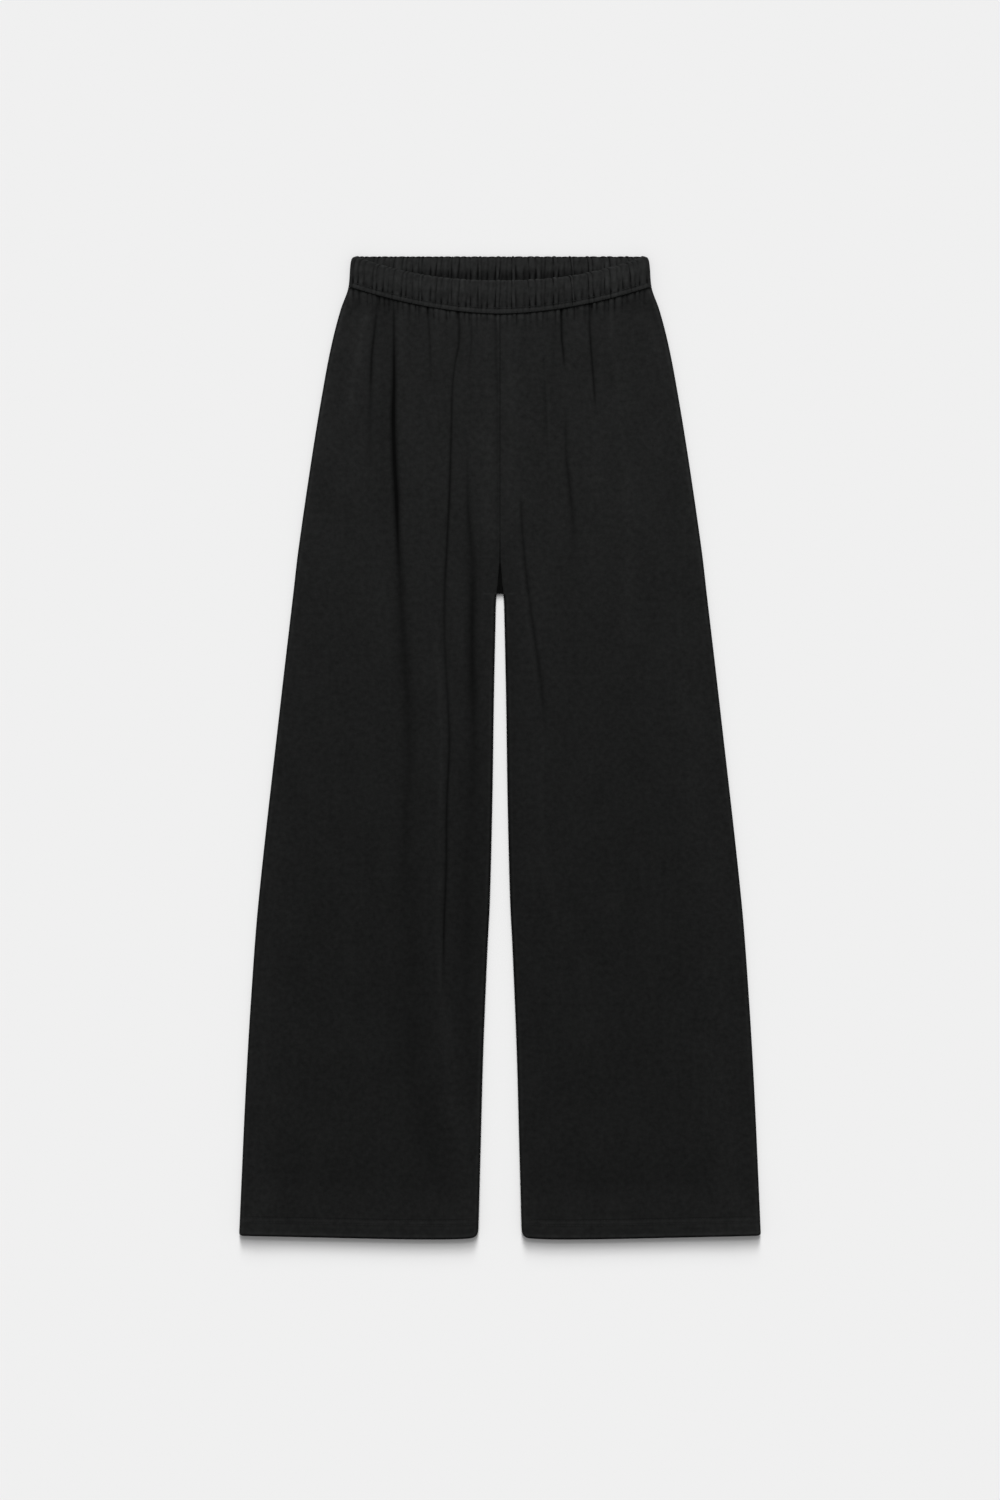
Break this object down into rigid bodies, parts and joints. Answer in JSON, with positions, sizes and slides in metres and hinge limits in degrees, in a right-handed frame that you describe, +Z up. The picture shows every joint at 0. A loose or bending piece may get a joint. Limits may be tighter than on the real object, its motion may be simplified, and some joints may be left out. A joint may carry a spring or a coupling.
{
  "type": "pair of joggers laid flat",
  "caption": "Wide-leg joggers in plain black knit, laid flat on their back, with a gathered elastic waistband and straight stitched hems.",
  "frame": {"origin": "centre of the garment's underside, on the surface that it lies on", "axes": "+Y from the hems to the waist, +X towards the wearer's left leg, +Z up through the fronts"},
  "size_m": [0.5622, 1.0596, 0.0093],
  "materials": {
    "knit": "soft matt black jersey with a fine cross rib"
  },
  "bodies": {
    "root": {"front_left": "knit", "front_right": "knit", "back_left": "knit", "back_right": "knit", "waistband_front": "knit", "waistband_back": "knit"}
  },
  "joints": []
}
